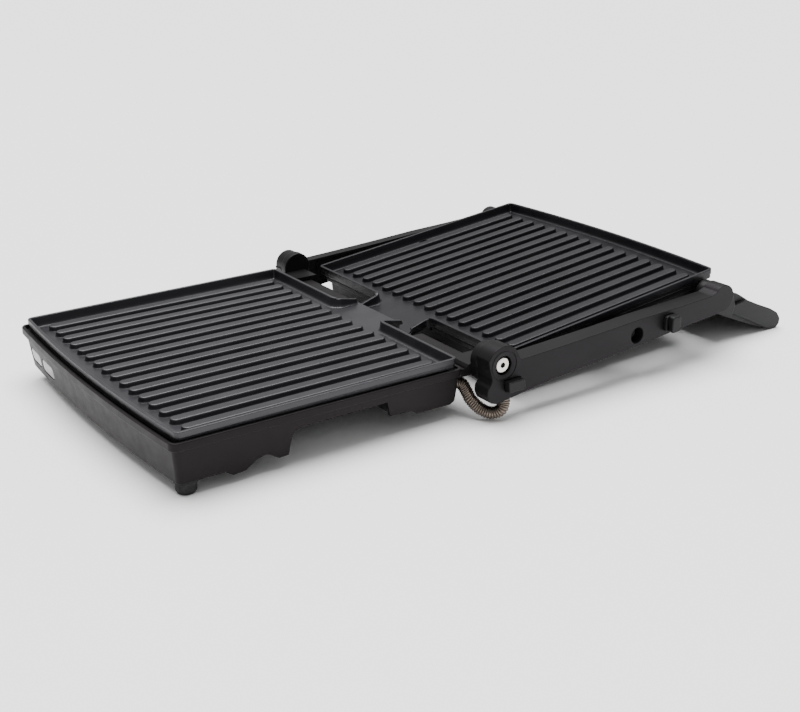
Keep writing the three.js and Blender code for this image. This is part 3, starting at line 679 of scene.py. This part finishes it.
# ------------------------------------------------------------------ hinge brackets, bolts
def bracket(name):
    """The right bracket: a barrel on the hinge's axis with a pad and a web down to the deck."""
    barrel = lathe(
        name + "_barrel",
        [(150.6, 4.2), (150.6, 13.8), (151.0, 14.2), (151.6, 14.4), (158.4, 14.4), (159.1, 14.2),
         (159.6, 13.7), (159.7, 13.0), (159.7, 4.2)],
        (HINGE_Y, HINGE_Z), "x", 72,
    )
    pad_outline = [(266, -10.8, 0.3), (268.6, -7.4, 1.2), (293.6, -7.4, 1.2), (297, -10.8, 0.3)]
    pad = prism(name + "_pad", rounded(pad_outline), 128, 152)
    web_outline = [(273.2, -19.4, 1), (271.2, -6, 1), (299, -6, 1), (297, -12, 2), (289, -20.4, 2)]
    web = prism(name + "_web", rounded(web_outline), 150.8, 159.5)
    return soften(merged(name, [barrel, pad, web]), 0.5, 2)


right = bracket("hinge_bracket_right_look")
left = mirrored(right, "hinge_bracket_left_look")
soften(left)
finish_piece(right, ARM_PLASTIC, "base", "hinge_bracket_right")
finish_piece(left, ARM_PLASTIC, "base", "hinge_bracket_left")


def hinge_bolt(name, x_face):
    """A round head with a bevelled rim and a hexagon socket, on a shank along the hinge's axis."""
    r, depth, shank_to, shank_r = 6.6, 3.4, 152, 3.6
    under = x_face - depth
    head = lathe(
        name,
        [(shank_to, shank_r * 0.7), (shank_to + 0.6, shank_r), (under, shank_r), (under, r - 0.2),
         (under + 0.2, r), (x_face - 0.9, r), (x_face - 0.3, r - 0.25), (x_face, r - 0.9),
         (x_face, r * 0.62), (x_face - 0.12, r * 0.58)],
        (HINGE_Y, HINGE_Z), "x", 56,
    )
    hexagon = arc(HINGE_Y, HINGE_Z, 2.7, 15, 375, 6)[:-1]
    carve(head, [prism("hex", hexagon, x_face - 2.4, x_face + 1)])
    return soften(head, sharp=38)


right = hinge_bolt("hinge_bolt_right_look", 176.6)
left = hinge_bolt("hinge_bolt_left_look", 169.6)
mirror_mesh(left)
soften(left, sharp=38)
finish_piece(right, BOLT_STEEL, "base", "hinge_bolt_right")
finish_piece(left, BOLT_STEEL, "base", "hinge_bolt_left")
axis_point = world((0, HINGE_Y, HINGE_Z))
for piece in (right, left):  # the sockets get painted shade inside
    piece.data.materials.append(SOCKET_SHADE)
    face = max(abs(v.co.x - ORIGIN.x) for v in piece.data.vertices)
    for p in piece.data.polygons:
        off = (p.center - axis_point).yz
        if off.length < 2.9 * MM and face - 2.6 * MM < abs(p.center.x - ORIGIN.x) < face - 0.3 * MM:
            p.material_index = 1

# ------------------------------------------------------------------ arms
ARM_IN = 160.0
# (y, z, corner radius) along the arm's lower and upper edges
ARM_LOW = [
    (270.8, -5.6, 2), (273.6, -14.2, 3), (271.8, -18.9, 4), (269.0, -22, 4), (268.6, -28, 6),
    (271.6, -34.8, 6), (278.6, -37.2, 6), (288, -36, 6), (338, -29.2, 30), (396, -24.6, 60),
    (456, -19.8, 60), (495, -15.8, 60), (534, -12.9, 20),
]
ARM_HIGH = [
    (535, 7.8, 4), (492.6, 5.8, 60), (442.3, 4.2, 60), (394, 1.4, 60), (348, -0.8, 40), (304, -2.6, 5),
]
# hollows in the arm's inner side, before and behind the lid's pivot
ARM_POCKETS = [
    [(314, -28.6), (338, -26.2), (396, -21.6), (424, -19.2), (424, -0.6), (394, -1.8), (348, -4.1),
     (314, -5.6)],
    [(455, -16.6), (495, -12.8), (537, -10), (537, 4), (492.6, 2.6), (455, 1.2)],
]


def arm_outline(hub, hub_end):
    """The arm from the side: a hub of radius hub, rounded from 28 to hub_end degrees, and a rounded tip."""
    pts = [(a, b, 0) for a, b in arc(HINGE_Y, HINGE_Z, hub, 28, hub_end, 40)] + ARM_LOW
    pts += [(a, b, 0) for a, b in arc(TIP_Y, TIP_Z, 13.2, -95, 142, 40)] + ARM_HIGH
    return rounded(pts, 8)


def button_outline(grow):
    """The button from the side, grown by grow."""
    y, z, w, h = BUTTON_Y, BUTTON_Z, 9 + grow, 4.7 + grow
    return rounded([(y - w + 1, z - h, 1.6), (y + w + 1, z - h + 0.3, 1.6), (y + w - 1, z + h + 0.4, 1.6),
                    (y - w, z + h, 1.6)])


def hub_face(out, dish_r):
    """A faint ring round the bolt: an open band whose edges are buried in the arm."""
    ring = lathe("hub_face", [(out - 0.7, dish_r - 0.9), (out - 0.15, dish_r - 1.2),
                              (out - 0.05, dish_r - 1.9), (out - 0.25, 9.6), (out - 0.6, 8.9),
                              (out - 1.3, 8.45)], (HINGE_Y, HINGE_Z), "x", 96)
    bm = bmesh.new()
    bm.from_mesh(ring.data)
    bmesh.ops.delete(bm, geom=[f for f in bm.faces if len(f.verts) > 8], context="FACES_ONLY")
    bm.to_mesh(ring.data)
    bm.free()
    return ring


def arm(name, out, hub, hub_end, near):
    """Out is the outer face's distance from the middle plane. The near arm has the button and the knob."""
    body = prism(name, arm_outline(hub, hub_end), ARM_IN, out)
    tools = [
        bore(HINGE_Y, HINGE_Z, 8.4, out - 6, out + 4), bore(HINGE_Y, HINGE_Z, 4.4, 155, out + 4),
        bore(*PIVOT, 7.4, 165.4, out + 4), bore(*PIVOT, 5.6, 155, out + 4),
        bore(TIP_Y, TIP_Z, 4.3, 155, out - 4),
    ]
    tools += [prism("pocket", pocket, 150, out - 2.6) for pocket in ARM_POCKETS]
    if near:
        tools += [
            prism("button_well", button_outline(0.5), 171.6, out + 4),
            bore(BUTTON_Y, BUTTON_Z, 3.2, 162, 175),
            lathe("gland_bore", [(-60, 6.9), (-30.5, 6.9)], CONDUIT_END[:2], "z", 40),
            bore(KNOB_Y, KNOB_Z, 4.3, 174, out + 4),
        ]
    carve(body, tools)
    soften(body, 1.3, 3, 40)
    settle(body)
    dish_r = hub - 3.6  # the hub's face is dished round the bolt
    carve(body, [bore(HINGE_Y, HINGE_Z, dish_r, out - 0.45, out + 4)])
    return soften(merged(name, [body, hub_face(out, dish_r)]), sharp=42)


right = arm("arm_right_look", 178.0, 17.2, 158, True)
left = mirror_mesh(arm("arm_left_look", 171.0, 13.4, 184, False))
soften(left, sharp=42)
finish_piece(right, ARM_PLASTIC, "arm_frame", "arm_right")
finish_piece(left, ARM_PLASTIC, "arm_frame", "arm_left")

# ------------------------------------------------------------------ release button and knob
face = prism("button_face", button_outline(0), 174.8, 184)
soften(face, 0.9, 3)
stem = bore(BUTTON_Y, BUTTON_Z, 2.8, 166, 175.2)
button = merged("release_button_look", [settle(face), stem])
soften(button, sharp=45)
finish_piece(button, GRIP_PLASTIC, "button", "release_button")


def knob_block(name, half_y, half_z, r, x0, x1, edge):
    """A block round the knob's axis with corner radius r and softened edges."""
    y0, y1, z0, z1 = KNOB_Y - half_y, KNOB_Y + half_y, KNOB_Z - half_z, KNOB_Z + half_z
    block = prism(name, rounded([(y0, z0, r), (y1, z0, r), (y1, z1, r), (y0, z1, r)], 8), x0, x1)
    return settle(soften(block, edge, 3))


disc = knob_block("knob_base", 8, 7.5, 4, 178.35, 181.8, 0.6)
stem = lathe("knob_stem", [(175, 3.6), (175.3, 4), (179, 4)], (KNOB_Y, KNOB_Z), "x", 40)
fin = knob_block("knob_fin", 5.4, 7.6, 3, 181.6, 187.4, 1.1)
knob = merged("height_knob_look", [disc, stem, fin])
soften(knob, sharp=45)
finish_piece(knob, GRIP_PLASTIC, "knob", "height_knob")

# ------------------------------------------------------------------ handle
# (y, z, corner radius): the grip's free edge, its whole section, and the caps at its ends
CREST = [
    (618, -20, 14), (631, -26, 20), (647, -32.6, 14), (658.6, -39.2, 6), (664.2, -46.4, 5),
    (663.6, -52, 4), (659.8, -55.2, 2.5), (652.8, -55.6, 3),
]
BODY = [(575, -25.8, 1.5), (575, -3.2, 1.5), (588.5, -5.6, 8), (599, -8.6, 8), (607, -13.2, 8)]
BODY += CREST + [(643, -53.6, 4), (611, -40.8, 16), (588, -31.2, 8)]
END = [(577.6, -20.6, 1), (600.4, -18.2, 10), (611.9, -17.2, 10)]
END += CREST + [(644.5, -52.8, 4), (618.4, -39.8, 16), (602.5, -32.3, 8)]
BAY = [
    (582, -60), (582, -8.6), (588, -9.6), (598, -12.8), (607, -17.4), (618, -24), (631, -30),
    (646, -36.6), (646, -60),
]
BAYS, BAYS_FROM, BAY_PITCH, RIB_THICK = 6, -146, 292 / 6, 2.6

grip = prism("grip", rounded(BODY, 8), -154, 154)
tools = []
for k in range(BAYS):
    x0 = BAYS_FROM + k * BAY_PITCH + RIB_THICK / 2
    tools.append(prism("bay", BAY, x0, x0 + BAY_PITCH - RIB_THICK))
carve(grip, tools)
soften(grip, 1.4, 4, 40)
lugs = []
lug_round = [(a, b, 0) for a, b in arc(TIP_Y, TIP_Z, 12.2, 62, 250, 30)]
lug_neck = [(564.4, -20.6, 3), (588, -30.8, 3), (592, -18, 4), (588, -6.4, 4), (573, -2.2, 8)]
for side in (-1, 1):
    cap = prism("grip_end", rounded(END, 8), *sorted((side * 150, side * 158)))
    lug = prism("lug", rounded(lug_round + lug_neck, 6), *sorted((side * 151.8, side * 159.6)))
    soften(cap, 1.4, 4, 40)
    soften(lug, 1.0, 3, 40)
    lugs += [settle(cap), settle(lug)]
handle = merged("handle_grip_look", [settle(grip)] + lugs)
soften(handle, sharp=44)
finish_piece(handle, GRIP_PLASTIC, "arm_frame", "handle_grip")

# ------------------------------------------------------------------ lid housing
def housing_ring(grow, z):
    """The housing's outline moved out by grow, at height z of the lid's own frame."""
    r = max(9.0 + grow, 0.5)
    a, b, c = 144.0 + grow, 6.0 - grow, 252.0 + grow
    pts = arc(a - r, b + r, r, 270, 360, 10) + arc(a - r, c - r, r, 0, 90, 10)
    pts += arc(-a + r, c - r, r, 90, 180, 10) + arc(-a + r, b + r, r, 180, 270, 10)
    pts += [((a - r) * (k / 12 - 1), b) for k in range(1, 24)]
    return [(x, y, z) for x, y in swollen(pts, 100)]


HOUSING_EDGE = [
    (-1.0, -9.55), (4.2, -9.55), (4.5, -9.9), (4.6, -10.4), (4.6, -13.6), (4.3, -14.2), (3.7, -14.4),
    (1.0, -14.5), (0.3, -14.8), (0.0, -15.6),
]
rings = [housing_ring(grow, z) for grow, z in HOUSING_EDGE]
for k in range(11):
    t = math.radians(90 * k / 10)
    rings.append(housing_ring(-9 * (1 - math.cos(t)) - 0.01 * k, -32 - 9 * math.sin(t)))
rings.append(housing_ring(-16, -41.0))
housing_shell = loft("housing_shell", rings, place=lid_point)
carve(housing_shell, [slab("tongue_gate", [(-42.8, 240), (42.8, 240), (42.8, 262), (-42.8, 262)],
                             -13.4, 5, place=lid_point)])
soften(housing_shell, sharp=48)
boss_right = lathe(
    "boss",
    [(141.8, 11.5), (144.2, 10.6), (146, 9.4), (148, 9.0), (158.6, 9.0), (159.3, 8.7), (159.5, 8.0),
     (159.5, 5.4)],
    PIVOT, "x", 56,
)
bosses = [mirrored(boss_right, "boss_left"), boss_right]
housing = merged("upper_housing_look", [settle(housing_shell)] + bosses)
soften(housing, sharp=48)
finish_piece(housing, PLASTIC, "lid", "upper_housing")

# ------------------------------------------------------------------ feet
def foot(name, x, y, r, top):
    """A rubber foot from the table up to top, with a stud above it."""
    stud = 2.5
    body = lathe(
        name,
        [(-56, r - 2.2), (-56, r - 1.4), (-55.6, r - 1.0), (-54.2, r - 0.9), (-54.1, r - 0.2), (-53.6, r),
         (top - 3.6, r + 0.1), (top - 3.4, r + 0.9), (top - 3.0, r + 1.2), (top - 0.5, r + 1.2),
         (top, r + 0.8), (top, stud), (top + 8, stud)],
        (x, y), "z", 64,
    )
    return soften(body, sharp=40)


for tag, sign in (("right", 1), ("left", -1)):
    piece = foot(f"front_foot_{tag}_look", *FRONT_FEET[tag], 8.3, -44.2)
    finish_piece(piece, RUBBER, "base", f"front_foot_{tag}")
    piece = foot(f"rear_foot_{tag}_look", sign * 100, 233, 8.0, -36.5)
    finish_piece(piece, RUBBER, "base", f"rear_foot_{tag}")

# ------------------------------------------------------------------ lamp windows
for label, (x0, x1) in zip(("power_lamp_lens", "ready_lamp_lens"), WINDOWS):
    rings = []
    for inward, shrink in ((4.2, 0.2), (1.2, 0.2), (0.6, 0.35), (0.3, 0.7), (0.12, 1.4), (0.08, 3.2)):
        rings.append([(a, front_wall(a, b) + inward, b) for a, b in window_outline(x0, x1, shrink)])
    piece = loft(label + "_look", rings)
    soften(piece, sharp=60)
    finish_piece(piece, LENS, "base", label)

# ------------------------------------------------------------------ spiral-wound conduit
def smooth_path(points, count):
    """Catmull-Rom through the points, resampled evenly by length."""
    pts = [Vector(p) for p in points]
    pts = [2 * pts[0] - pts[1]] + pts + [2 * pts[-1] - pts[-2]]
    dense = []
    for i in range(1, len(pts) - 2):
        for k in range(60):
            t = k / 60
            p0, p1, p2, p3 = pts[i - 1: i + 3]
            dense.append(0.5 * ((2 * p1) + (p2 - p0) * t + (2 * p0 - 5 * p1 + 4 * p2 - p3) * t * t
                                + (3 * p1 - p0 - 3 * p2 + p3) * t ** 3))
    dense.append(pts[-2])
    lengths = [0.0]
    for a, b in zip(dense, dense[1:]):
        lengths.append(lengths[-1] + (b - a).length)
    out, j = [], 0
    for k in range(count):
        want = lengths[-1] * k / (count - 1)
        while j < len(lengths) - 2 and lengths[j + 1] < want:
            j += 1
        span = max(lengths[j + 1] - lengths[j], 1e-9)
        out.append(dense[j].lerp(dense[j + 1], (want - lengths[j]) / span))
    return out, lengths[-1]


ROUTE = [
    (140, 258.2, -25.5), (140.4, 262.4, -25.5), (143.8, 267.6, -27.4), (148.2, 269.8, -33.4),
    (153.5, 271, -39.8), (160.4, 275.4, -46.2), (167.2, 281.6, -49.2), (171.6, 288.2, -46.6),
    (171.2, 291.6, -40.4), CONDUIT_END,
]
CONDUIT_R, GROOVE, WINDING_PITCH, AROUND = 5.6, 0.95, 1.9, 36
line, length = smooth_path(ROUTE, 760)
rings = []
side_vector = None
turns = length / WINDING_PITCH
for i, p in enumerate(line):
    ahead = (line[min(i + 1, len(line) - 1)] - line[max(i - 1, 0)]).normalized()
    if side_vector is None:
        side_vector = ahead.cross(Vector((0, 0, 1))).normalized()
    side_vector = (side_vector - ahead * side_vector.dot(ahead)).normalized()
    up = ahead.cross(side_vector)
    ring = []
    for k in range(AROUND):
        t = 2 * math.pi * k / AROUND
        phase = turns * i / (len(line) - 1) - k / AROUND
        wave = phase - math.floor(phase)
        r = CONDUIT_R - GROOVE * abs(2 * wave - 1) ** 3
        ring.append(tuple(p + (side_vector * math.cos(t) + up * math.sin(t)) * r))
    rings.append(ring)
conduit = loft("flexible_conduit_look", rings)
soften(conduit, sharp=80)
paint(conduit, CONDUIT_STEEL)
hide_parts("flexible_conduit")
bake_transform(conduit)

# ------------------------------------------------------------------ CAD nodes shown as they are
# node: (material, width of its softened edges)
SHOWN = {
    "base_pan": (ENAMEL, 0.5), "lower_heating_element": (SHEATH, 0), "upper_heating_element": (SHEATH, 0),
    "lower_heat_shield": (SHEET, 0.2), "upper_heat_shield": (SHEET, 0.2), "lower_thermostat": (CERAMIC, 0.4),
    "upper_thermostat": (CERAMIC, 0.4), "thermal_fuse": (SHEET, 0.3), "terminal_block": (CERAMIC, 0.4),
    "lamp_board": (BOARD, 0.2), "mains_gland": (RUBBER, 0.5),
}
SHOWN.update({f"pan_screw_{k}": (SCREW_STEEL, 0.3) for k in range(1, 5)})
for hand in ("right", "left"):
    SHOWN["arm_front_cover_" + hand] = SHOWN["arm_rear_cover_" + hand] = (ARM_PLASTIC, 0.3)
    SHOWN["handle_pin_" + hand] = (SCREW_STEEL, 0)
    # the pivot screws are painted near black as the shade of their holes
    SHOWN["lid_pivot_screw_" + hand] = (PIVOT_SHADE_STEEL, 0.4)
for node, (material, width) in SHOWN.items():
    obj = frame["nodes"][node]
    paint(obj, material)
    if width:
        m = obj.modifiers.new("edges", "BEVEL")
        m.width, m.segments, m.limit_method, m.angle_limit = width * MM, 2, "ANGLE", math.radians(38)
        w = obj.modifiers.new("even shading", "WEIGHTED_NORMAL")
        w.keep_sharp = True
    for p in obj.data.polygons:
        p.use_smooth = node.endswith("heating_element")

# ------------------------------------------------------------------ floor, light, camera
FLOOR, FLOOR_Z = 40.0, -0.0002
floor_mesh = bpy.data.meshes.new("floor")
corners = [(x, y, FLOOR_Z) for x, y in ((-FLOOR, -FLOOR), (FLOOR, -FLOOR), (FLOOR, FLOOR), (-FLOOR, FLOOR))]
floor_mesh.from_pydata(corners, [], [(0, 1, 2, 3)])
floor_mesh.materials.append(Nodes("floor_paper").set(color=(0.93, 0.93, 0.93, 1), rough=0.7, spec=0.15))
new_object("floor", floor_mesh)

sky = bpy.data.worlds.new("studio")
sky.use_nodes = True
background = sky.node_tree.nodes["Background"]
background.inputs["Color"].default_value = (1, 1, 1, 1)
background.inputs["Strength"].default_value = 0.6
bpy.context.scene.world = sky


def light(name, kind, towards, energy):
    """A stage light that shines in the direction towards."""
    data = bpy.data.lights.new(name, kind)
    data.energy = energy
    lamp = new_object(name, data)
    lamp.rotation_euler = Vector(towards).to_track_quat("-Z", "Y").to_euler()
    return lamp


overhead = light("overhead", "SUN", (0.16, -0.06, -1), 6.9)
overhead.data.angle = math.radians(60)
softbox = light("left_softbox", "AREA", (1.7, 0.9, -1.06), 2)
softbox.location = (-1.7, -0.9, 1.1)
softbox.data.shape, softbox.data.size, softbox.data.size_y = "RECTANGLE", 1.4, 1.2
softbox.data.color = (1, 0.92, 0.9)

camera_data = bpy.data.cameras.new("camera")
camera_data.lens = 57.62
camera_data.sensor_width = 36
camera_data.clip_start, camera_data.clip_end = 0.01, 120
camera = new_object("camera", camera_data)
azimuth, elevation, roll = math.radians(54.53), math.radians(21.55), math.radians(0.14)
back = Vector((math.sin(azimuth) * math.cos(elevation), -math.cos(azimuth) * math.cos(elevation),
               math.sin(elevation)))
side = Vector((0, 0, 1)).cross(back).normalized()
up = back.cross(side)
side_rolled = side * math.cos(roll) + up * math.sin(roll)
up_rolled = -side * math.sin(roll) + up * math.cos(roll)
matrix = Matrix((side_rolled, up_rolled, back)).transposed().to_4x4()
matrix.translation = world((926.31, -353.52, 391.57))
camera.matrix_world = matrix
bpy.context.scene.camera = camera
